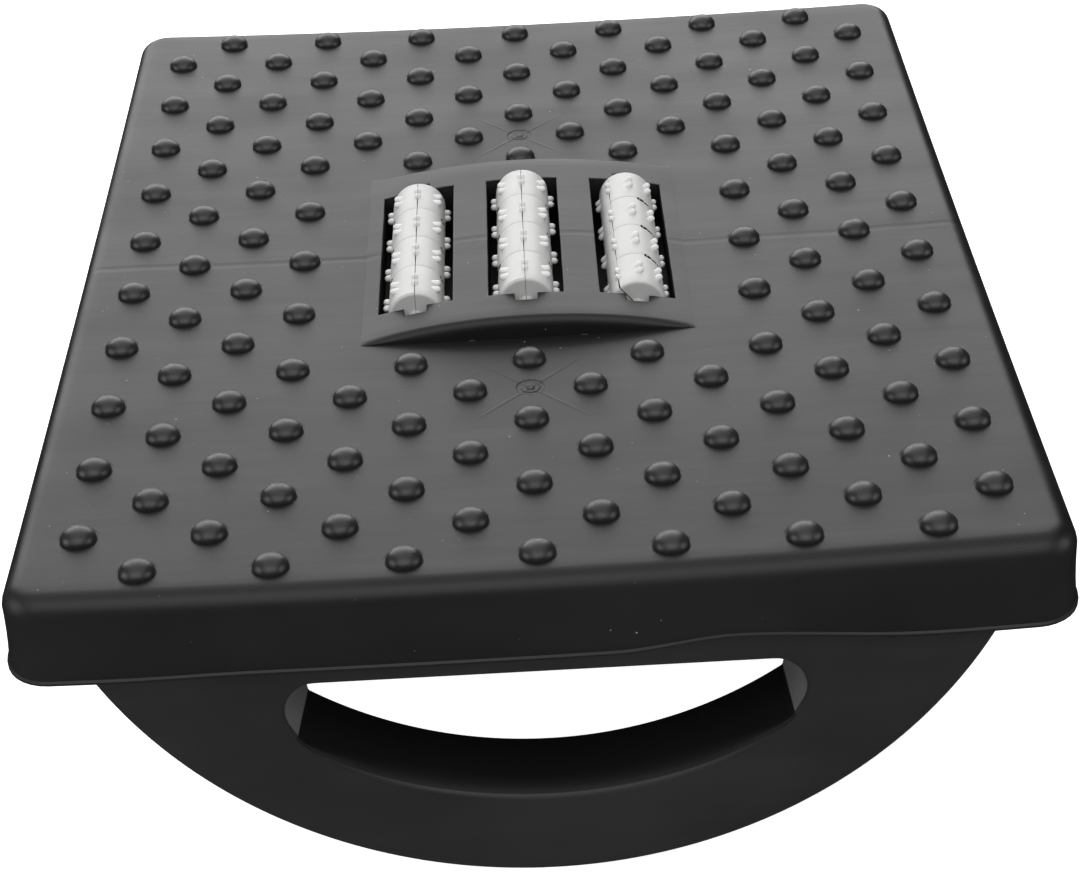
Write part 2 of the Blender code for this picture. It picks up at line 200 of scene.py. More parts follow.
# degrees from straight down and length of the spokes, one of each on both sides
SPOKES = ((10, 36), (29, 36), (47, 48), (62, 40))
SPOKE_STEP = 0.5
UPRIGHTS_X = (-72, -36, 0, 36, 72)
UPRIGHT_LOW = TOP - 33.8
LEG_RIB_HALF = 1
LEG_RIB_BACK = 2
FLANGE_X = 125
FLANGE_EASE = 0.1
# distance past the leg's back, trim of the flange's ends and ease of its corners
FLANGE_PROFILE = ((-2, 0, 0.3), (21.4, 0, 0.3), (22.8, 1.2, 0.3), (23, 1.5, 0.5))

# hand hole: two end arcs, two corner arcs and a bottom arc; the draft narrows it towards the back
HOLE_END_X = 72.5
HOLE_END_RADIUS = 12.5
HOLE_END_STEPS = 16
HOLE_CORNER_X = 66.0
HOLE_CORNER_X_DRAFT = 16.0
HOLE_CORNER_RADIUS = 18.0
HOLE_CORNER_RADIUS_DRAFT = 16.5
HOLE_CORNER_STEPS = 8
HOLE_BOTTOM_RADIUS = 141.5
HOLE_BOTTOM_STEPS = 64
HOLE_TOP = TOP - 36
HOLE_TOP_STEPS = 24
HOLE_TOP_GROWTH = 0.35
HOLE_BOTTOM = TOP - 86.5
HOLE_NARROWING = 0.045
HOLE_LIFT = 0.8 / 51.5
HOLE_ENDS_LOW = TOP - 60
LIP_DEGREES = (0, 15, 30, 45, 60, 75, 90)
LIP_SIDE = 1.5
LIP_BOTTOM = 5.5
LIP_DEPTH = 12.0
LIP_BLEND = 22
LIP_BRIGHT_STRIPS = 2
# growth of the tunnel's outline, and distance from the leg's back, round its inner end
TUNNEL_RIM = ((0, 0.6), (0.5, 0.3), (2.2, 0.3))
TUNNEL_WALL = 2.4
TUNNEL_WALL_DRAFT = 0.1
TUNNEL_WALL_STEP = 2.0
TUNNEL_ROOT = 1.4
TUNNEL_CLEAR = 2.6

# screws
SCREW_SIDES = 32
SCREW_GAP = 0.05
HEAD_TOP = -2.35
HEAD_FLAT = 2.6
HEAD_PROFILE = ((HEAD_FLAT, HEAD_TOP), (3.0, -2.2), (3.4, -1.85), (3.7, -1.3), (3.8, -0.7), (3.8, 0.0),
                (1.6, 0.0))
THREADS = 16
THREAD_START = 0.6
THREAD_PITCH = 0.75
THREAD_CREST = 0.35
THREAD_ROOT_RADIUS = 1.15
THREAD_CREST_RADIUS = 1.6
SCREW_TIP = (0.3, 13.2)
CROSS_LONG = 2.2
CROSS_SHORT = 0.5
CROSS_TAPER = 0.8
CROSS_FLOOR = -1.0

# rollers
ROLLER_RADIUS = 10.4
ROLLER_HALF = 44.2
ROLLER_STEPS = 60
# distance from the end and radius of the rounded end's rings
ROLLER_END = ((0.0, 9.0), (0.0, 9.7), (0.25, 10.0), (0.65, 10.12))
ROLLER_END_CLEAR = 0.7
STUB_RADIUS = 3.0
STUB_LENGTH = 5.4
STUB_ROOT = 0.5
STUB_EASE = 0.4
STUB_STEPS = 18
SEGMENT = 22.9
SEGMENTS = 4
SEGMENT_BARREL = 0.2
GROOVE_DEPTH = 0.13
GROOVE_HALF = 0.6
GROOVE_RAMP = 0.5
TURNS = {"left": 90, "centre": 90, "right": 50}
# slots beside each groove, in degrees round the half, with 90 in the mould's pull direction
VENT_START = 114.0
VENT_SPAN = 51.0
VENT_DEPTH = 2.2
VENT_HALF = 0.45
VENT_TAPER = 0.5
VENT_RAMP = 0.2
VENT_OFFSET = 0.3
VENT_SLANT = 1.8
VENT_END_CLEAR = 2
# how deep in and how far from the ends the vents' painted shade starts
VENT_DARK_DEPTH = 0.6
VENT_DARK_END = 1
# half the gap on the parting line, and how it opens beside the nubs and at the near end
PARTING = 0.0825
PARTING_EDGE = 0.12
PARTING_CORNER = 0.1
WEDGE_WIDTH = 0.12
WEDGE_START = 0.5
WEDGE_RAMP = 0.4
WEDGE_END = 8.0
WEDGE_FADE = 0.6
OPENING_WIDTH = 0.2
OPENING_START = 30
OPENING_RAMP = 14
# nubs: root and tip distance from the axle, and radius
NUB_OFFSETS = (-2.35, 2.35)
TOP_NUB = (9.0, 12.6, 1.25)
SIDE_NUB = (4.5, 9.5, 1.2)
SIDE_NUB_X = 7.2
SEAM_NUB = (9.4, 11.9, 1.3)
SEAM_NUB_STEPS = 10
SEAM_NUB_TIP = 0.12
NUB_SIDES = 14
NUB_ROOT = 1.2
NUB_WAIST = 1.03
NUB_WAIST_HEIGHT = 0.6
NUB_DEGREES = (0, 20, 40, 58, 74)

# material numbers on the pieces that have more than one
DOME_KIND = 1
# painted shade inside the slots and wells
WELL_SHADE_KIND = 2
# painted shade on the bottom of the hand hole and its lip
TUNNEL_SHADE_KIND = 1
# painted light on the hand hole's end walls
TUNNEL_END_LIGHT_KIND = 2
# painted shade in the rollers' vents
VENT_SHADE_KIND = 1
# painted light on the rollers' nubs
NUB_LIGHT_KIND = 2


# -- mesh helper

class Shell:
    """Points in millimetres and faces with a material number."""

    def __init__(self):
        self.points = []
        self.faces = []
        self.kinds = []

    def add(self, points):
        first = len(self.points)
        self.points += [tuple(p) for p in points]
        return list(range(first, len(self.points)))

    def face(self, ids, kind=0):
        self.faces.append(tuple(ids))
        self.kinds.append(kind)

    def bridge(self, a, b, kind=0):
        for i in range(len(a)):
            j = (i + 1) % len(a)
            self.face((a[i], a[j], b[j], b[i]), kind)

    def fan(self, ring, tip, kind=0):
        """Triangles from a ring to one new point."""
        middle = self.add([tip])[0]
        for i in range(len(ring)):
            self.face((ring[i], ring[(i + 1) % len(ring)], middle), kind)

    def loft(self, rings, kind=0, caps=True):
        ids = [self.add(ring) for ring in rings]
        for a, b in zip(ids, ids[1:]):
            self.bridge(a, b, kind)
        if caps:
            self.face(reversed(ids[0]), kind)
            self.face(ids[-1], kind)
        return ids

    def paint(self, first, kind):
        """Give every face from the first on another material number."""
        for i in range(first, len(self.faces)):
            self.kinds[i] = kind

    def fill(self, loops, loose, height, keep, kind=0):
        """Triangles between rings of the shell and loose lines of (x, y) points, from above."""
        flat = []
        known = []
        edges = []
        for loop in loops:
            start = len(flat)
            for i, ident in enumerate(loop):
                flat.append(Vector(self.points[ident][:2]))
                known.append(ident)
                if i:
                    edges.append((start + i - 1, start + i))
            edges.append((start + len(loop) - 1, start))
        for line in loose:
            start = len(flat)
            for i, p in enumerate(line):
                flat.append(Vector(p))
                known.append(None)
                if i:
                    edges.append((start + i - 1, start + i))
        verts, _, tris, origin, _, _ = delaunay_2d_cdt(flat, edges, [], 0, 1e-5)
        ids = []
        for vert, sources in zip(verts, origin):
            named = [known[s] for s in sources if known[s] is not None]
            if named:
                ids.append(named[0])
            else:
                ids += self.add([(vert.x, vert.y, height(vert.x, vert.y))])
        for tri in tris:
            middle = sum((verts[i] for i in tri), Vector((0, 0))) / len(tri)
            if keep(middle.x, middle.y):
                self.face([ids[i] for i in tri], kind)

    def build(self, name, materials, matrix=None, warp=None, smooth=35):
        """The finished piece, its faces smooth up to the given angle in degrees."""
        mesh = bpy.data.meshes.new(name)
        points = self.points
        if matrix is not None:
            points = [tuple(matrix @ Vector(p)) for p in points]
        if warp is not None:
            points = [warp(*p) for p in points]
        mesh.from_pydata([[c * MM for c in p] for p in points], [], self.faces)
        for m in materials:
            mesh.materials.append(m)
        mesh.polygons.foreach_set("material_index", self.kinds)
        bm = bmesh.new()
        bm.from_mesh(mesh)
        loose = [v for v in bm.verts if not v.link_faces]
        bmesh.ops.delete(bm, geom=loose, context="VERTS")
        bmesh.ops.recalc_face_normals(bm, faces=bm.faces)
        bm.to_mesh(mesh)
        bm.free()
        mesh.shade_smooth()
        mesh.set_sharp_from_angle(angle=math.radians(smooth))
        piece = bpy.data.objects.new(name, mesh)
        bpy.context.scene.collection.objects.link(piece)
        return piece


def arc(cx, cy, radius, start, end, steps):
    angles = [math.radians(start + (end - start) * i / steps) for i in range(steps + 1)]
    return [(cx + radius * math.cos(a), cy + radius * math.sin(a)) for a in angles]


def circle(radius, sides):
    """Points round a full circle about the origin, the first not repeated."""
    return arc(0, 0, radius, 0, 360 * (1 - 1 / sides), sides - 1)


def smooth_step(t):
    t = min(1.0, max(0.0, t))
    return t * t * (3 - 2 * t)


def densify(line, spacing):
    """A closed line with points added along its sides."""
    out = []
    for i, a in enumerate(line):
        b = line[(i + 1) % len(line)]
        n = max(1, round(math.dist(a, b) / spacing))
        out += [(a[0] + (b[0] - a[0]) * k / n, a[1] + (b[1] - a[1]) * k / n) for k in range(n)]
    return out


def steps_between(low, high, spacing):
    n = max(1, round((high - low) / spacing))
    return [low + (high - low) * i / n for i in range(n + 1)]


def inside_outline(outline):
    """A test of whether a point lies inside a closed line."""
    def test(x, z):
        hit = False
        for (x0, z0), (x1, z1) in zip(outline, outline[1:] + outline[:1]):
            if (z0 > z) != (z1 > z) and x < x0 + (x1 - x0) * (z - z0) / (z1 - z0):
                hit = not hit
        return hit
    return test


# -- tray

def dish(x, y):
    """The moulding has cooled a little dished: its corners stand higher than its middle."""
    u = x / DISH_X
    v = y / DISH_Y
    return DISH_RISE_X * u * u + DISH_RISE_Y * v * v - DISH_TWIST * u * v


def crown(x):
    """Height of the arched panel over the plate, 0 beside it."""
    if abs(x) > CROWN_X + CROWN_TOLERANCE:
        return 0.0
    x = min(abs(x), CROWN_X)
    return math.sqrt(CROWN_RADIUS ** 2 - x * x) - CROWN_RADIUS + CROWN_HEIGHT


def surface(x, y):
    """Height of the top face over the plate: the arched panel with its rounded ends."""
    inward = CROWN_Y - abs(y)
    if inward <= 0:
        return 0.0
    t = min(inward / CROWN_EDGE, 1.0)
    high = crown(x)
    return high - min(CROWN_DROP, CROWN_DROP_SHARE * high) * (1 - math.sqrt(1 - (1 - t) ** 2))


def dome_centres():
    """Staggered rows over the whole plate, left out where the arched panel stands."""
    middle = (ROWS - 1) / 2
    for row in range(ROWS):
        y = (middle - row) * ROW_PITCH
        count = COLUMNS + row % 2
        for column in range(count):
            x = (column - (count - 1) / 2) * PITCH
            if abs(x) >= CROWN_X + DOME_RADIUS or abs(y) >= CROWN_Y + DOME_RADIUS:
                yield x, y


DOMES = list(dome_centres())


def near_dome(x, y, reach):
    return any(abs(x - cx) < reach and math.dist((x, y), (cx, cy)) < reach for cx, cy in DOMES)


def edge_line(inset):
    """The tray's rounded outline moved in by the inset, always with the same count of points."""
    corner = CORNER - inset
    centre_x = HALF_X - inset - corner
    centre_y = HALF_Y - inset - corner
    turns = []
    for sx, sy, start in ((1, 1, 0), (-1, 1, 90), (-1, -1, 180), (1, -1, 270)):
        turns.append(arc(sx * centre_x, sy * centre_y, corner, start, start + 90, CORNER_STEPS))
    counts = (round(2 * HALF_X / SIDE_SPACING), round(2 * HALF_Y / SIDE_SPACING))
    out = []
    for k, turn in enumerate(turns):
        out += turn
        a = turn[-1]
        b = turns[(k + 1) % 4][0]
        n = counts[k % 2]
        for i in range(1, n):
            f = i / n
            out.append((a[0] * (1 - f) + b[0] * f, a[1] * (1 - f) + b[1] * f))
    return out


def skirt_height(x, y):
    """Height of the skirt. Its lower edge waves a little along the near side."""
    wave = smooth_step((x - WAVE_START) / WAVE_RAMP) * (1 - smooth_step((x - WAVE_END) / WAVE_FADE))
    corners = smooth_step((abs(x) - CORNER_START) / CORNER_RAMP)
    near = NEAR_DROP - WAVE_RISE * wave + CORNER_DROP * corners
    return SKIRT_HEIGHT + near * smooth_step((-y - NEAR_START) / NEAR_RAMP)


def slot_line(cx, grow):
    """Outline of a slot with its two stub notches, 12 corners."""
    sx, sy = SLOT_X + grow, SLOT_Y + grow
    nx, ny = NOTCH_X + grow, SLOT_Y + NOTCH_LENGTH + grow
    corners = [(sx, -sy), (sx, sy), (nx, sy), (nx, ny), (-nx, ny), (-nx, sy), (-sx, sy), (-sx, -sy)]
    corners += [(-nx, -sy), (-nx, -ny), (nx, -ny), (nx, -sy)]
    return densify([(cx + x, y) for x, y in corners], SLOT_SPACING)


def in_slot(x, y, grow):
    for cx, _, _ in JOINTS.values():
        if abs(x - cx) < SLOT_X + grow and abs(y) < SLOT_Y + grow:
            return True
        if abs(x - cx) < NOTCH_X + grow and abs(y) < SLOT_Y + NOTCH_LENGTH + grow:
            return True
    return False


def add_tray_wall(shell):
    """Rounded edge and skirt, from the top face's border round to the ceiling's border."""
    rings = []
    for degrees in EDGE_DEGREES:
        a = math.radians(degrees)
        z = -EDGE * (1 - math.sin(a))
        rings.append([(x, y, z) for x, y in edge_line(EDGE * (1 - math.cos(a)))])
    for share, inset in SKIRT_PROFILE:
        rings.append([(x, y, -EDGE - (skirt_height(x, y) - EDGE) * share) for x, y in edge_line(inset)])
    for share, inset in SKIRT_FOOT:
        rings.append([(x, y, -skirt_height(x, y) * share) for x, y in edge_line(inset)])
    rings.append([(x, y, -SKIN - COVE_HEIGHT) for x, y in edge_line(SKIRT_WALL)])
    rings.append([(x, y, -SKIN) for x, y in edge_line(SKIRT_WALL + COVE_INSET)])
    return shell.loft(rings, caps=False)


def add_domes(shell):
    """Every dome with the flat collar round its foot. Gives the collars' outer rings."""
    profile = [(DOME_RADIUS + past, z) for past, z in DOME_FOOT]
    for degrees in DOME_DEGREES:
        a = math.radians(degrees)
        profile.append((DOME_RADIUS * math.cos(a), DOME_HEIGHT * math.sin(a)))
    unit = circle(1, DOME_SIDES)
    collars = []
    for cx, cy in DOMES:
        ids = [shell.add([(cx + ux * r, cy + uy * r, z) for ux, uy in unit]) for r, z in profile]
        for k, (a, b) in enumerate(zip(ids, ids[1:])):
            shell.bridge(a, b, 0 if k < DOME_COLLARS else DOME_KIND)
        shell.fan(ids[-1], (cx, cy, DOME_HEIGHT), DOME_KIND)
        collars.append(ids[0])
    return collars


def add_slot(shell, cx, axis_z):
    """Slot with chamfer, notches and closed well. Gives its rim and the well's ring."""
    inner = slot_line(cx, 0.0)
    rim = shell.add([(x, y, surface(x, y)) for x, y in slot_line(cx, SLOT_CHAMFER)])
    middle = shell.add([(x, y, surface(x, y) - SLOT_CHAMFER_MIDDLE)
                        for x, y in slot_line(cx, SLOT_CHAMFER_MIDDLE)])
    lip = shell.add([(x, y, surface(x, y) - SLOT_CHAMFER) for x, y in inner])
    notch_z = axis_z - TOP - STUB_RADIUS - NOTCH_ROOM
    seat = shell.add([(x, y, notch_z) for x, y in inner])
    shell.bridge(rim, middle)
    shell.bridge(middle, lip)
    # painted shade: the slot's walls, notch seats and well in the darker plastic
    shell.bridge(lip, seat, WELL_SHADE_KIND)
    for sign in (-1, 1):
        shell.face([i for (x, y), i in zip(inner, seat)
                    if sign * y > SLOT_Y - TINY and abs(x - cx) < NOTCH_X + TINY], WELL_SHADE_KIND)
    well = [(p, i) for p, i in zip(inner, seat) if abs(p[1]) <= SLOT_Y + TINY]
    bottom = shell.add([(x, y, -WELL_DEPTH) for (x, y), _ in well])
    shell.bridge([i for _, i in well], bottom, WELL_SHADE_KIND)
    shell.face(bottom, WELL_SHADE_KIND)
    corners = [(cx + WELL_X, -WELL_Y), (cx + WELL_X, WELL_Y), (cx - WELL_X, WELL_Y), (cx - WELL_X, -WELL_Y)]
    box = densify(corners, WELL_SPACING)
    foot = shell.add([(x, y, surface(x, y) - SKIN) for x, y in box])
    sole = shell.add([(x, y, -WELL_DEPTH - WELL_WALL) for x, y in box])
    shell.bridge(foot, sole)
    shell.face(sole)
    return rim, foot


def top_lines():
    """Loose points and lines that shape the top face."""
    lines = []
    for x in steps_between(-HALF_X + FACE_BORDER, HALF_X - FACE_BORDER, FACE_SPACING):
        for y in steps_between(-HALF_Y + FACE_BORDER, HALF_Y - FACE_BORDER, FACE_SPACING):
            on_panel = abs(x) < CROWN_X + FACE_CROWN_CLEAR and abs(y) < CROWN_Y + FACE_CROWN_CLEAR
            if not on_panel and not near_dome(x, y, DOME_CLEAR_REACH):
                lines.append([(x, y)])
    xs = steps_between(-CROWN_X, CROWN_X, PANEL_SPACING_X)
    for inward in CROWN_INSETS:
        for sign in (-1, 1):
            lines.append([(x, sign * (CROWN_Y - inward)) for x in xs])
    for x in xs:
        for y in steps_between(-CROWN_Y + CROWN_EDGE, CROWN_Y - CROWN_EDGE, PANEL_SPACING_Y)[1:-1]:
            if not in_slot(x, y, PANEL_SLOT_CLEAR):
                lines.append([(x, y)])
    low_x = CROWN_X + CROWN_COLLAR
    low_y = CROWN_Y + CROWN_COLLAR
    collar = densify([(low_x, low_y), (-low_x, low_y), (-low_x, -low_y), (low_x, -low_y)], PANEL_SPACING_X)
    lines.append(collar + collar[:1])
    for cx, _, _ in JOINTS.values():
        collar = slot_line(cx, SLOT_CHAMFER + SLOT_COLLAR)
        lines.append(collar + collar[:1])
    for x in (-CROWN_X - CROWN_SIDE, -CROWN_X, CROWN_X, CROWN_X + CROWN_SIDE):
        lines.append([(x, y) for y in steps_between(-CROWN_Y, CROWN_Y, PANEL_SIDE_SPACING)])
    return lines


def over_well(x, y):
    return any(abs(x - cx) < WELL_X and abs(y) < WELL_Y for cx, _, _ in JOINTS.values())


def ceiling_lines():
    """Loose points and lines that shape the ceiling, which follows the arched panel."""
    lines = []
    for x in steps_between(-HALF_X + CEILING_BORDER, HALF_X - CEILING_BORDER, CEILING_SPACING):
        for y in steps_between(-HALF_Y + CEILING_BORDER, HALF_Y - CEILING_BORDER, CEILING_SPACING):
            if not over_well(x, y):
                lines.append([(x, y)])
    xs = steps_between(-CROWN_X, CROWN_X, PANEL_SPACING_X)
    for sign in (-1, 1):
        for y in (CROWN_Y, CROWN_Y - 1, CROWN_Y - CROWN_EDGE):
            lines.append([(x, sign * y) for x in xs])
    return lines


def make_tray(materials):
    """One closed wall: top face, edge, skirt, ceiling, slots and the wells below them."""
    shell = Shell()
    walls = add_tray_wall(shell)
    collars = add_domes(shell)
    slots = [add_slot(shell, cx, axis_z) for cx, _, axis_z in JOINTS.values()]
    rims = [rim for rim, _ in slots]
    feet = [foot for _, foot in slots]
    shell.fill([walls[0]] + collars + rims, top_lines(), surface,
               lambda x, y: not in_slot(x, y, SLOT_CHAMFER) and not near_dome(x, y, DOME_COLLAR_REACH))
    shell.fill([walls[-1]] + feet, ceiling_lines(), lambda x, y: surface(x, y) - SKIN,
               lambda x, y: not over_well(x, y))
    return shell.build("tray", materials, warp=lambda x, y, z: (x, y, TOP + z + dish(x, y)), smooth=38)


def add_rib(shell, a, b):
    """Straight rib on the underside that follows the dish, its root in the skin."""
    length = math.dist(a, b)
    n = max(1, round(length / RIB_SPACING))
    across = (-(b[1] - a[1]) / length, (b[0] - a[0]) / length)
    rings = []
    for i in range(n + 1):
        x = a[0] + (b[0] - a[0]) * i / n
        y = a[1] + (b[1] - a[1]) * i / n
        root = surface(x, y) - SKIN + ROOT_DEPTH + dish(x, y)
        tip = RIB_TIP + dish(x, y)
        left = [(-RIB_ROOT_HALF, root), (-RIB_TIP_HALF, tip + RIB_EASE), (-RIB_FLAT_HALF, tip)]
        right = [(-half, z) for half, z in reversed(left)]
        rings.append([(x + across[0] * half, y + across[1] * half, TOP + z) for half, z in left + right])
    shell.loft(rings)


def add_boss(shell, x, y):
    """Screw boss with a blind bore, its root in the skin."""
    root = TOP + dish(x, y) - SKIN + ROOT_DEPTH
    foot = LEG_TOP + BOSS_GAP
    rings = []
    for r, z in ((BOSS_ROOT_RADIUS, root), (BOSS_RADIUS, foot + BOSS_EASE), (BOSS_FACE_RADIUS, foot),
                 (BOSS_BORE_RADIUS, foot), (BOSS_BORE_END_RADIUS, foot + BOSS_BORE_DEPTH)):
        rings.append([(x + px, y + py, z) for px, py in circle(r, BOSS_SIDES)])
    shell.loft(rings)


def make_ribs(materials):
    """Stiffening ribs and screw bosses on the underside."""
    shell = Shell()
    end_x = HALF_X - SKIRT_WALL
    end_y = HALF_Y - SKIRT_WALL
    side = JOINTS["roller_right"][0]
    near_wall = WELL_X - RIB_OVERLAP
    for y in RIBS_Y:
        for sign in (-1, 1):
            add_rib(shell, (-end_x, sign * y), (end_x, sign * y))
    for sign in (-1, 1):
        add_rib(shell, (sign * (side + near_wall), 0), (sign * end_x, 0))
        add_rib(shell, (sign * near_wall, 0), (sign * (side - near_wall), 0))
        for x in RIBS_X:
            add_rib(shell, (sign * x, -end_y), (sign * x, end_y))
    for x in SCREW_X:
        for sign in (-1, 1):
            add_boss(shell, x, sign * SCREW_Y)
    return shell.build("tray_ribs", materials)


# -- legs

def leg_outline(inset):
    """Points (x, z) of a leg: the arc it rocks on, closed by a flat top."""
    radius = RADIUS - inset
    top = LEG_TOP - inset
    reach = math.degrees(math.acos((LEG_CENTRE - top) / radius))
    points = arc(0, LEG_CENTRE, radius, -90 - reach, -90 + reach, LEG_STEPS)
    right = points[-1][0]
    left = points[0][0]
    return points + [(right + (left - right) * i / LEG_TOP_STEPS, top) for i in range(1, LEG_TOP_STEPS)]


def hand_hole(grow, draft=0.0):
    """Outline (x, z) of the hand hole. Draft 1 is its narrower inner end."""
    corner_x = HOLE_CORNER_X + HOLE_CORNER_X_DRAFT * draft
    corner_r = HOLE_CORNER_RADIUS - HOLE_CORNER_RADIUS_DRAFT * draft
    end_z = HOLE_TOP - HOLE_END_RADIUS
    arc_z = HOLE_BOTTOM + HOLE_BOTTOM_RADIUS
    reach = HOLE_BOTTOM_RADIUS - corner_r
    corner_angle = -math.degrees(math.acos(corner_x / reach))
    corner_z = arc_z + reach * math.sin(math.radians(corner_angle))
    step = Vector((HOLE_END_X - corner_x, end_z - corner_z))
    heading = math.degrees(math.atan2(step.y, step.x))
    tangent = heading - math.degrees(math.acos((corner_r - HOLE_END_RADIUS) / step.length))
    right = arc(HOLE_END_X, end_z, HOLE_END_RADIUS + grow, 90, tangent, HOLE_END_STEPS)
    right += arc(corner_x, corner_z, corner_r + grow, tangent, corner_angle, HOLE_CORNER_STEPS)
    bottom = arc(0, arc_z, HOLE_BOTTOM_RADIUS + grow, corner_angle, -180 - corner_angle, HOLE_BOTTOM_STEPS)
    left = [(-x, z) for x, z in reversed(right)]
    n = HOLE_TOP_STEPS
    top = [(left[-1][0] + (right[0][0] - left[-1][0]) * i / n, right[0][1]) for i in range(1, n)]
    line = []
    for x, z in right + bottom[1:-1] + left + top:
        if z > HOLE_TOP:
            z = HOLE_TOP + HOLE_TOP_GROWTH * (z - HOLE_TOP)
        line.append((x * (1 - HOLE_NARROWING * draft), z + HOLE_LIFT * draft * (HOLE_TOP - z)))
    return line


def hole_lip(out, deep=0.0):
    """Rolled edge of the hand hole as (x, z, y), wider and deeper along the bottom than at the ends."""
    narrow = hand_hole(LIP_SIDE * out)
    wide = hand_hole(LIP_BOTTOM * out)
    line = []
    for (x0, z0), (x1, z1) in zip(narrow, wide):
        f = smooth_step((HOLE_ENDS_LOW - z0) / LIP_BLEND)
        depth = LIP_SIDE + (LIP_DEPTH - LIP_SIDE) * f
        line.append((x0 + (x1 - x0) * f, z0 + (z1 - z0) * f, depth * deep))
    return line


def add_leg_bar(shell, corners):
    """Rib across the inside of a leg, from its face's wall almost to its back."""
    ends = (LEG_WALL - RIM_FOLD, LEG_THICKNESS - LEG_RIB_BACK)
    shell.loft([[(x, z, y) for x, z in corners] for y in ends])


def add_leg_ribs(shell):
    """Spokes from the rocking wall to the tunnel, and uprights from the tunnel to the flange."""
    outer_r = RADIUS - LEG_WALL / 2
    centre = Vector((0, LEG_CENTRE))
    in_tunnel = inside_outline(hand_hole(TUNNEL_CLEAR))
    h = LEG_RIB_HALF
    for degrees, length in SPOKES:
        for sign in (-1, 1):
            a = math.radians(sign * degrees)
            spoke = Vector((math.sin(a), -math.cos(a)))
            flank = Vector((math.cos(a), math.sin(a)))
            while in_tunnel(*(centre + spoke * (RADIUS - length))):
                length -= SPOKE_STEP
            inner_r = RADIUS - length
            ends = ((inner_r, -h), (inner_r, h), (outer_r, h), (outer_r, -h))
            add_leg_bar(shell, [tuple(centre + spoke * r + flank * side) for r, side in ends])
    high = LEG_TOP - LEG_WALL / 2
    for x in UPRIGHTS_X:
        add_leg_bar(shell, [(x - h, UPRIGHT_LOW), (x + h, UPRIGHT_LOW), (x + h, high), (x - h, high)])


def add_flange(shell):
    """Plate behind the leg that the screws hold against the bosses."""
    high = LEG_TOP - FLANGE_EASE
    low = LEG_TOP - LEG_WALL + FLANGE_EASE
    rings = []
    for past, trim, ease in FLANGE_PROFILE:
        y = LEG_THICKNESS + past
        half = FLANGE_X - trim
        right = [(half - ease, low, y), (half, low + ease, y), (half, high - ease, y), (half - ease, high, y)]
        left = [(-x, z, y) for x, z, _ in reversed(right)]
        rings.append(left[-2:] + right + left[:2])
    shell.loft(rings)


def make_leg(name, side, materials):
    """Arc-shaped shell with a hand hole, open inward, modelled with (x, z, y) points and turned."""
    back = LEG_THICKNESS
    shell = Shell()

    def ring(outline, depth):
        return shell.add([(x, z, depth) for x, z in outline])

    outer = []
    for degrees in LEG_EDGE_DEGREES:
        a = math.radians(degrees)
        outer.append(ring(leg_outline(LEG_EDGE * (1 - math.sin(a))), LEG_EDGE * (1 - math.cos(a))))
    for inset, depth in ((0, back - RIM_EASE), (RIM_EASE, back), (LEG_WALL - RIM_FOLD, back),
                         (LEG_WALL, back - RIM_FOLD), (LEG_WALL, LEG_WALL)):
        outer.append(ring(leg_outline(inset), depth))
    for a, b in zip(outer, outer[1:]):
        shell.bridge(a, b)
    inner = []
    for degrees in LIP_DEGREES:
        a = math.radians(degrees)
        inner.append(shell.add(hole_lip(1 - math.sin(a), 1 - math.cos(a))))
    tunnel = len(inner) - 1
    for grow, from_back in TUNNEL_RIM:
        inner.append(ring(hand_hole(grow, 1), back - from_back))
    inner.append(ring(hand_hole(TUNNEL_WALL, TUNNEL_WALL_DRAFT), LIP_DEPTH + TUNNEL_WALL_STEP))
    inner.append(ring([(x, z) for x, z, _ in hole_lip(TUNNEL_ROOT)], LEG_WALL))
    for k, (a, b) in enumerate(zip(inner, inner[1:])):
        shell.bridge(a, b)
        # painted shade on the deeper lip strips and the tunnel along the bottom, painted light on the
        # tunnel's end walls
        if LIP_BRIGHT_STRIPS <= k <= tunnel:
            for i in range(len(a)):
                on_bottom = shell.points[inner[0][i]][1] < HOLE_ENDS_LOW
                if on_bottom or k == tunnel:
                    shell.kinds[i - len(a)] = TUNNEL_SHADE_KIND if on_bottom else TUNNEL_END_LIGHT_KIND
    zs = steps_between(2, LEG_TOP, LEG_GRID)
    grid = [[(x, z)] for x in steps_between(-RADIUS, RADIUS, LEG_GRID) for z in zs]
    for outer_ids, inner_ids, depth in ((outer[0], inner[0], 0.0), (outer[-1], inner[-1], LEG_WALL)):
        edge = inside_outline([shell.points[i][:2] for i in outer_ids])
        hole = inside_outline([shell.points[i][:2] for i in inner_ids])

        def on_face(x, z):
            return edge(x, z) and not hole(x, z)

        loose = [line for line in grid if on_face(*line[0])]
        shell.fill([outer_ids, inner_ids], loose, lambda x, z: depth, on_face)
    add_leg_ribs(shell)
    add_flange(shell)
    turned = Matrix(((1, 0, 0, 0), (0, 0, 1, -LEG_FACE), (0, 1, 0, 0), (0, 0, 0, 1)))
    if side > 0:
        turned = Matrix.Rotation(math.pi, 4, "Z") @ turned
    return shell.build(name, materials, matrix=turned)


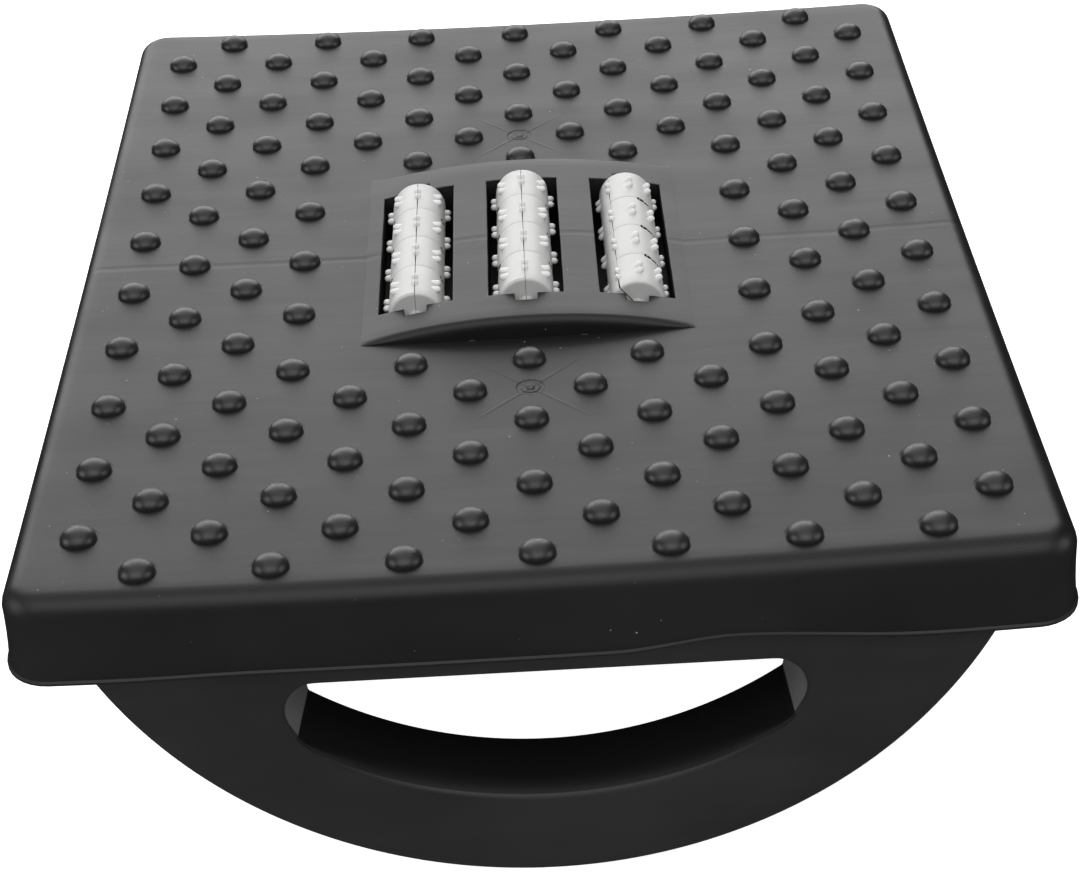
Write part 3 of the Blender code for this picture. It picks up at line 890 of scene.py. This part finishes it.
def make_screw(name, x, y, materials):
    """Pan head with a rounded rim and a cross recess, shank up into its boss."""
    shell = Shell()
    profile = list(HEAD_PROFILE)
    for i in range(THREADS):
        z = THREAD_START + i * THREAD_PITCH
        profile += [(THREAD_ROOT_RADIUS, z), (THREAD_CREST_RADIUS, z + THREAD_CREST)]
    profile.append(SCREW_TIP)
    rings = [[(px, py, z) for px, py in circle(r, SCREW_SIDES)] for r, z in profile]
    ids = shell.loft(rings, caps=False)
    shell.face(ids[-1])
    long = CROSS_LONG
    short = CROSS_SHORT
    cross = [(long, -short), (long, short), (short, short), (short, long), (-short, long), (-short, short)]
    cross += [(-px, -py) for px, py in cross]
    rim = shell.add([(px, py, HEAD_TOP) for px, py in cross])
    floor = shell.add([(px * CROSS_TAPER, py * CROSS_TAPER, CROSS_FLOOR) for px, py in cross])
    shell.bridge(rim, floor)
    shell.face(floor)
    in_cross = inside_outline(cross)
    shell.fill([ids[0], rim], [], lambda px, py: HEAD_TOP,
               lambda px, py: not in_cross(px, py) and math.hypot(px, py) < HEAD_FLAT)
    return shell.build(name, materials, matrix=Matrix.Translation((x, y, LEG_TOP - LEG_WALL - SCREW_GAP)))


# -- rollers

def roller_radius(y, degrees):
    """Outer radius of a half at y, at an angle where 90 is the mould's pull direction."""
    share = (y / SEGMENT) % 1.0
    from_middle = abs(share - 0.5) * 2
    radius = ROLLER_RADIUS - SEGMENT_BARREL * from_middle ** 4
    to_joint = min(share, 1 - share) * SEGMENT
    radius -= GROOVE_DEPTH * smooth_step((GROOVE_HALF - to_joint) / GROOVE_RAMP)
    across = (VENT_START - degrees) / VENT_SPAN
    joint = round(y / SEGMENT) * SEGMENT
    if 0 <= across <= 1 and abs(joint) < ROLLER_HALF - VENT_END_CLEAR:
        half = VENT_TAPER * (1 - across) + VENT_HALF
        off = abs(y - joint + VENT_OFFSET + VENT_SLANT * across)
        radius -= VENT_DEPTH * smooth_step((half - off) / VENT_RAMP + 0.5)
    return radius


def nub_rings(root, tip, radius):
    """Radius and height pairs of a round-tipped nub."""
    shoulder = tip - radius
    rings = [(radius * NUB_ROOT, root), (radius * NUB_WAIST, root + NUB_WAIST_HEIGHT * (shoulder - root))]
    for degrees in NUB_DEGREES:
        a = math.radians(degrees)
        rings.append((radius * math.cos(a), shoulder + radius * math.sin(a)))
    return rings


def add_nub(shell, x, y, root, tip, radius):
    """Round-tipped nub along the pull direction."""
    first = len(shell.faces)
    rings = []
    for r, z in nub_rings(root, tip, radius):
        rings.append([(x + px, y + py, z) for px, py in circle(r, NUB_SIDES)])
    ids = shell.loft(rings, caps=False)
    shell.face(ids[0])
    shell.fan(ids[-1], (x, y, tip))
    # painted light: the nub gets the brighter plastic
    shell.paint(first, NUB_LIGHT_KIND)


def add_seam_nub(shell, sign, y, gap, root, tip, radius):
    """Half of a round-tipped nub that stands on the parting line."""
    first = len(shell.faces)
    rings = []
    for r, x in nub_rings(root, tip, radius) + [(SEAM_NUB_TIP, tip)]:
        rings.append([(sign * x, y + py, max(gap, pz)) for py, pz in arc(0, 0, r, 0, 180, SEAM_NUB_STEPS)])
    shell.loft(rings)
    # painted light: the nub gets the brighter plastic
    shell.paint(first, NUB_LIGHT_KIND)


def roller_stations():
    """Places along the roller where its section is drawn, close together at the grooves and vents."""
    spots = [0.0, 0.1, 0.22, 0.35, 0.5, 0.8, 1.2, 2.0, 3.5, 6.0, 9.0, 12.0, 15.0, 17.5, 19.2]
    spots += [spots[-1] + 0.25 * i for i in range(1, 15)]
    half = SEGMENTS // 2
    stations = [segment * SEGMENT + spot for segment in range(-half, half) for spot in spots]
    return [y for y in stations if abs(y) < ROLLER_HALF - ROLLER_END_CLEAR]


def make_half(name, matrix, materials, near):
    """One half: near is the local end, -1 or 1, that faces the front."""
    shell = Shell()

    def gap(y):
        """Half the parting gap: it opens a little on the near side of each row of nubs."""
        y = y * -near
        along = (y / SEGMENT) % 1.0 * SEGMENT
        wedge = smooth_step((along - WEDGE_START) / WEDGE_RAMP)
        wedge *= (1 - smooth_step((along - WEDGE_END) / WEDGE_FADE)) * along / WEDGE_END
        opening = OPENING_WIDTH * smooth_step((-y - OPENING_START) / OPENING_RAMP)
        return PARTING + WEDGE_WIDTH * wedge * (y > -SEGMENT) + opening * ("right" in name)

    def section(y, fixed=None):
        low = gap(y)
        ring = [((fixed or roller_radius(y, 0)) - PARTING_CORNER, y, low)]
        for i in range(ROLLER_STEPS + 1):
            degrees = 180.0 * i / ROLLER_STEPS
            r = fixed or roller_radius(y, degrees)
            a = math.radians(degrees)
            ring.append((r * math.cos(a), y, max(low + PARTING_EDGE, r * math.sin(a))))
        ring.append((PARTING_CORNER - (fixed or roller_radius(y, 180)), y, low))
        return ring

    end = ROLLER_HALF
    rings = [section(past - end, r) for past, r in ROLLER_END]
    rings += [section(y) for y in roller_stations()]
    rings += [section(end - past, r) for past, r in reversed(ROLLER_END)]
    shell.loft(rings)
    # painted shade: the vents' sunk faces get the dark plastic
    for i, ids in enumerate(shell.faces):
        middle = sum((Vector(shell.points[j]) for j in ids), Vector()) / len(ids)
        sunk = math.hypot(middle.x, middle.z) < ROLLER_RADIUS - VENT_DARK_DEPTH
        if len(ids) == 4 and sunk and abs(middle.y) < end - VENT_DARK_END:
            shell.kinds[i] = VENT_SHADE_KIND
    stub_end = end + STUB_LENGTH
    stub = ((STUB_RADIUS, end - STUB_ROOT), (STUB_RADIUS, stub_end - STUB_EASE),
            (STUB_RADIUS - STUB_EASE, stub_end))
    for sign in (-1, 1):
        low = gap(sign * end)
        rings = []
        for r, y in stub:
            rings.append([(px, sign * y, max(low, pz)) for px, pz in arc(0, 0, r, 0, 180, STUB_STEPS)])
        shell.loft(rings)
    for segment in range(SEGMENTS):
        centre = (segment - (SEGMENTS - 1) / 2) * SEGMENT
        for offset in NUB_OFFSETS:
            y = centre + offset
            add_nub(shell, 0, y, *TOP_NUB)
            for sign in (-1, 1):
                add_nub(shell, sign * SIDE_NUB_X, y, *SIDE_NUB)
                add_seam_nub(shell, sign, y, gap(y), *SEAM_NUB)
    return shell.build(name, materials, matrix=matrix, smooth=40)


# -- materials

GATE_Y = 0.0995
GATE_RING = 0.0042


class Nodes:
    """Shorthand for a procedural material on the Principled shader. Its lengths are in metres."""

    def __init__(self, name, colour, roughness, **sockets):
        self.material = bpy.data.materials.new(name)
        self.material.use_nodes = True
        self.tree = self.material.node_tree
        self.shader = self.tree.nodes["Principled BSDF"]
        self.shader.inputs["Base Color"].default_value = (*colour, 1)
        self.shader.inputs["Roughness"].default_value = roughness
        for key, value in sockets.items():
            self.shader.inputs[key.replace("_", " ")].default_value = value
        self.point = self.tree.nodes.new("ShaderNodeTexCoord").outputs["Object"]

    def link(self, source, socket):
        if hasattr(source, "links"):
            self.tree.links.new(source, socket)
        elif isinstance(source, tuple) and socket.type == "RGBA":
            socket.default_value = (*source, 1)
        else:
            socket.default_value = source

    def stretch(self, x, y, z):
        node = self.tree.nodes.new("ShaderNodeMapping")
        self.link(self.point, node.inputs["Vector"])
        node.inputs["Scale"].default_value = (x, y, z)
        return node.outputs[0]

    def noise(self, scale, detail=3.0, vector=None, rough=0.55):
        node = self.tree.nodes.new("ShaderNodeTexNoise")
        self.link(vector or self.point, node.inputs["Vector"])
        node.inputs["Scale"].default_value = scale
        node.inputs["Detail"].default_value = detail
        node.inputs["Roughness"].default_value = rough
        return node.outputs["Fac"]

    def math(self, operation, a, b=0.0):
        node = self.tree.nodes.new("ShaderNodeMath")
        node.operation = operation
        for value, socket in zip((a, b), node.inputs):
            self.link(value, socket)
        return node.outputs[0]

    def plus(self, a, b):
        return self.math("ADD", a, b)

    def minus(self, a, b):
        return self.math("SUBTRACT", a, b)

    def times(self, a, b):
        return self.math("MULTIPLY", a, b)

    def size(self, value):
        return self.math("ABSOLUTE", value)

    def remap(self, value, low, high, to_low=0.0, to_high=1.0):
        node = self.tree.nodes.new("ShaderNodeMapRange")
        node.interpolation_type = "SMOOTHSTEP"
        for item, socket in zip((value, low, high, to_low, to_high), node.inputs):
            self.link(item, socket)
        return node.outputs[0]

    def axes(self):
        node = self.tree.nodes.new("ShaderNodeSeparateXYZ")
        self.link(self.point, node.inputs[0])
        return node.outputs

    def mix(self, factor, a, b):
        node = self.tree.nodes.new("ShaderNodeMix")
        node.data_type = "RGBA"
        self.link(factor, node.inputs["Factor"])
        colours = [s for s in node.inputs if s.type == "RGBA"]
        self.link(a, colours[0])
        self.link(b, colours[1])
        return [s for s in node.outputs if s.type == "RGBA"][0]

    def colour(self, source):
        self.link(source, self.shader.inputs["Base Color"])

    def roughness(self, source):
        self.link(source, self.shader.inputs["Roughness"])

    def bump(self, height, distance, strength=1.0):
        node = self.tree.nodes.new("ShaderNodeBump")
        self.link(height, node.inputs["Height"])
        node.inputs["Distance"].default_value = distance
        node.inputs["Strength"].default_value = strength
        self.link(node.outputs[0], self.shader.inputs["Normal"])


def tray_plastic():
    """Matt black polypropylene with flow streaks, gate marks, a weld line and dust."""
    made = Nodes("tray_plastic", (0.02, 0.02, 0.0205), 0.42)
    made.shader.inputs["Specular IOR Level"].default_value = 0.3
    x, y, _ = made.axes()
    cloud = made.noise(14, 4)
    streak = made.noise(1.0, 4, made.stretch(7, 42, 20))
    grain = made.noise(1500, 2)
    dust = made.remap(made.noise(700, 0), 0.886, 0.9)
    tone = made.plus(made.times(cloud, 0.5), made.times(streak, 0.5))
    # weld line across the middle
    wander = made.times(made.minus(made.noise(18, 2), 0.5), 0.006)
    weld = made.remap(made.size(made.plus(y, wander)), 0.0002, 0.0026, 1.0, 0.0)
    # a gate past each end of the arched panel: blush, ring, pip and four faint rays
    gate_x = made.size(x)
    gate_y = made.minus(made.size(y), GATE_Y)
    gate_far = made.size(gate_y)
    far = made.math("SQRT", made.plus(made.times(x, x), made.times(gate_y, gate_y)))
    patch = made.math("MAXIMUM", made.times(gate_x, 0.85), gate_far)
    blush = made.remap(patch, 0.021, 0.028, 1.0, 0.0)
    ring = made.remap(made.size(made.minus(far, GATE_RING)), 0.0003, 0.0013, 1.0, 0.0)
    pip = made.remap(far, 0.0009, 0.0018, 1.0, 0.0)
    ray = made.remap(made.size(made.minus(gate_x, gate_far)), 0.0002, 0.0012, 1.0, 0.0)
    ray = made.times(ray, made.remap(far, 0.008, 0.036, 1.0, 0.0))
    base = made.mix(made.remap(tone, 0.35, 0.65), (0.0092, 0.0092, 0.0094), (0.0126, 0.0126, 0.0128))
    base = made.mix(made.times(blush, 0.16), base, (0.045, 0.045, 0.046))
    base = made.mix(made.times(weld, 0.2), base, (0.006, 0.006, 0.006))
    base = made.mix(made.times(pip, 0.8), base, (0.003, 0.003, 0.003))
    base = made.mix(made.times(dust, 0.5), base, (0.4, 0.4, 0.39))
    made.colour(base)
    made.roughness(made.plus(made.remap(tone, 0.3, 0.7, 0.37, 0.46), made.times(blush, 0.04)))
    height = made.plus(made.times(grain, 0.05), made.times(streak, 0.8))
    height = made.minus(height, made.times(weld, 0.3))
    height = made.minus(height, made.times(ring, 1.1))
    height = made.plus(height, made.times(pip, 1.6))
    height = made.plus(height, made.times(ray, 0.35))
    made.bump(height, 0.00045, 0.7)
    return made.material


def dome_plastic():
    """The domes, rubbed a little smoother than the plate."""
    made = Nodes("dome_plastic", (0.016, 0.016, 0.0165), 0.34)
    fine = made.noise(900, 2)
    made.colour(made.mix(made.noise(60, 3), (0.013, 0.013, 0.0135), (0.019, 0.019, 0.0195)))
    made.roughness(made.remap(fine, 0.3, 0.7, 0.35, 0.43))
    made.bump(fine, 0.00006, 0.5)
    return made.material


def well_painted_shade():
    """Painted shade: a darker plastic for the inside of the slots and wells, where shade falls."""
    made = Nodes("well_painted_shade", (0.008, 0.008, 0.008), 0.6)
    made.shader.inputs["Specular IOR Level"].default_value = 0.25
    made.colour(made.mix(made.noise(90, 3), (0.006, 0.006, 0.006), (0.011, 0.011, 0.011)))
    made.bump(made.noise(700, 2), 0.0001, 0.4)
    return made.material


def leg_plastic():
    """Satin black polypropylene with faint drag marks."""
    made = Nodes("leg_plastic", (0.024, 0.024, 0.0245), 0.4)
    made.shader.inputs["Specular IOR Level"].default_value = 0.3
    cloud = made.noise(16, 4)
    drag = made.noise(1.0, 4, made.stretch(14, 14, 90))
    fine = made.noise(1300, 2)
    tone = made.plus(made.times(cloud, 0.6), made.times(drag, 0.4))
    made.colour(made.mix(made.remap(tone, 0.35, 0.65), (0.016, 0.016, 0.0163), (0.021, 0.021, 0.0213)))
    made.roughness(made.remap(tone, 0.3, 0.7, 0.35, 0.44))
    made.bump(made.plus(made.times(fine, 0.06), made.times(cloud, 0.6)), 0.0003, 0.5)
    return made.material


def tunnel_painted_shade():
    """Painted shade: a darker plastic for the bottom of the hand hole and of its lip, where shade falls."""
    made = Nodes("tunnel_painted_shade", (0.008, 0.008, 0.008), 0.5)
    made.shader.inputs["Specular IOR Level"].default_value = 0.2
    made.colour(made.mix(made.noise(40, 3), (0.004, 0.004, 0.004), (0.006, 0.006, 0.006)))
    made.bump(made.noise(900, 2), 0.00008, 0.4)
    return made.material


def tunnel_end_painted_light():
    """Painted light: a lighter plastic for the hand hole's end walls, standing in for the light they catch.
    """
    made = Nodes("tunnel_end_painted_light", (0.04, 0.04, 0.04), 0.45)
    made.colour(made.mix(made.noise(60, 4), (0.08, 0.08, 0.08), (0.11, 0.11, 0.11)))
    made.bump(made.noise(1200, 2), 0.0001, 0.5)
    return made.material


def roller_plastic():
    """Pale grey plastic, matt, with faint scuffs."""
    made = Nodes("roller_plastic", (0.64, 0.64, 0.63), 0.42)
    cloud = made.noise(120, 4)
    scuff = made.remap(made.noise(1.0, 3, made.stretch(500, 60, 500)), 0.6, 0.75)
    base = made.mix(cloud, (0.56, 0.56, 0.553), (0.63, 0.63, 0.622))
    base = made.mix(made.times(scuff, 0.12), base, (0.42, 0.42, 0.41))
    made.colour(base)
    made.roughness(made.remap(cloud, 0.3, 0.7, 0.38, 0.5))
    made.bump(made.noise(800, 3), 0.00008, 0.5)
    return made.material


def nub_painted_light():
    """Painted light: the nubs in a brighter plastic than the roller they stand on, standing in for the light
    they catch.
    """
    made = Nodes("nub_painted_light", (0.84, 0.84, 0.83), 0.36)
    made.colour(made.mix(made.noise(400, 2), (0.8, 0.8, 0.79), (0.88, 0.88, 0.87)))
    made.bump(made.noise(900, 2), 0.00005, 0.4)
    return made.material


def vent_painted_shade():
    """Painted shade: a dark plastic on the walls of a roller's vents, standing in for the shaded hollow
    inside.
    """
    made = Nodes("vent_painted_shade", (0.02, 0.02, 0.02), 0.7)
    made.shader.inputs["Specular IOR Level"].default_value = 0.1
    made.colour(made.mix(made.noise(200, 2), (0.014, 0.014, 0.014), (0.03, 0.03, 0.03)))
    return made.material


def zinc():
    """Bright plated screws."""
    made = Nodes("zinc", (0.55, 0.56, 0.58), 0.32, Metallic=1.0)
    made.colour(made.mix(made.noise(260, 3), (0.48, 0.49, 0.5), (0.62, 0.62, 0.62)))
    made.roughness(made.remap(made.noise(700, 3), 0.3, 0.7, 0.24, 0.42))
    made.bump(made.noise(1500, 2), 0.00004, 0.5)
    return made.material


# -- the object

def dress(piece, body, node=None):
    """Put a piece on its body, in place of its CAD node."""
    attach(piece, body)
    if node:
        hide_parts(node)


TRAY_PLASTIC = tray_plastic()
TRAY_LOOKS = [TRAY_PLASTIC, dome_plastic(), well_painted_shade()]
LEG_LOOKS = [leg_plastic(), tunnel_painted_shade(), tunnel_end_painted_light()]
ROLLER_LOOKS = [roller_plastic(), vent_painted_shade(), nub_painted_light()]
SCREW_LOOKS = [zinc()]

dress(make_tray(TRAY_LOOKS), "base", "platform")
dress(make_ribs([TRAY_PLASTIC]), "base")
for label, side in (("front", -1), ("rear", 1)):
    dress(make_leg(f"leg_shell_{label}", side, LEG_LOOKS), "base", f"rocker_leg_{label}")
    for number, screw_x in enumerate(SCREW_X, start=1):
        screw = make_screw(f"screw_{label}_{number}", screw_x, side * SCREW_Y, SCREW_LOOKS)
        dress(screw, "base", f"leg_screw_{label}_{number}")
for label, turn in TURNS.items():
    body = f"roller_{label}"
    axle = Matrix.Translation(JOINTS[body]) @ Matrix.Rotation(math.radians(turn), 4, "Y")
    for letter, flip, near in (("a", 0, -1), ("b", math.pi, 1)):
        turned = axle @ Matrix.Rotation(flip, 4, "X")
        half = make_half(f"{body}_shell_{letter}", turned, ROLLER_LOOKS, near)
        dress(half, body, f"{body}_half_{letter}")


# -- stage, light and camera

FLOOR_HALF = 60.0
FLOOR_GLOW = 0.88
LIGHT_TARGET = (0, 0, 0.1)
CAMERA_PLACE = (0.0058577, -0.8262475, 0.4575785 + TOP * MM)
CAMERA_DEGREES = (56.611, 2.7304, -1.5241)
CAMERA_LENS = 81.19


def make_floor():
    """Plain pale floor that the plastic doesn't mirror."""
    mesh = bpy.data.meshes.new("floor")
    corners = [(x * FLOOR_HALF, y * FLOOR_HALF, 0) for x, y in ((-1, -1), (1, -1), (1, 1), (-1, 1))]
    mesh.from_pydata(corners, [], [(0, 1, 2, 3)])
    floor = bpy.data.objects.new("floor", mesh)
    bpy.context.scene.collection.objects.link(floor)
    made = Nodes("floor_paper", (0.9, 0.9, 0.9), 0.9)
    made.colour(made.mix(made.noise(3, 2), (0.9, 0.9, 0.9), (0.92, 0.92, 0.92)))
    made.shader.inputs["Emission Color"].default_value = (1, 1, 1, 1)
    made.shader.inputs["Emission Strength"].default_value = FLOOR_GLOW
    mesh.materials.append(made.material)
    floor.visible_glossy = False


def soft_box(name, place, size, power):
    """Area light aimed at the object."""
    light = bpy.data.lights.new(name, "AREA")
    light.shape = "RECTANGLE"
    light.size, light.size_y = size
    light.energy = power
    lamp = bpy.data.objects.new(name, light)
    lamp.location = place
    lamp.rotation_euler = (Vector(LIGHT_TARGET) - Vector(place)).to_track_quat("-Z", "Y").to_euler()
    bpy.context.scene.collection.objects.link(lamp)


def make_world(brightness):
    """White background that only the camera sees."""
    world = bpy.data.worlds.new("studio")
    world.use_nodes = True
    world.node_tree.nodes["Background"].inputs["Color"].default_value = (1, 1, 1, 1)
    world.node_tree.nodes["Background"].inputs["Strength"].default_value = brightness
    world.cycles_visibility.diffuse = False
    world.cycles_visibility.glossy = False
    bpy.context.scene.world = world


def make_camera():
    """Camera at the photograph's angle."""
    data = bpy.data.cameras.new("camera")
    data.sensor_width = 36.0
    data.lens = CAMERA_LENS
    data.clip_start = 0.01
    camera = bpy.data.objects.new("camera", data)
    camera.location = CAMERA_PLACE
    camera.rotation_euler = Euler([math.radians(a) for a in CAMERA_DEGREES])
    bpy.context.scene.collection.objects.link(camera)
    bpy.context.scene.camera = camera


make_floor()
make_world(1.0)
soft_box("back", (-0.35, 2.3, 1.08), (3.2, 1.4), 46)
soft_box("top", (0, -0.1, 2.2), (2.6, 2.6), 19)
soft_box("shoulder", (-0.2, 1.55, 1.85), (2.8, 0.9), 11)
soft_box("front", (0, -1.5, 1.85), (2.6, 1.7), 24)
soft_box("left", (-1.6, -0.5, 0.7), (1.0, 1.0), 9)
soft_box("right", (1.6, -0.5, 0.7), (1.0, 1.0), 7)
bpy.context.scene.view_settings.view_transform = "Standard"
make_camera()
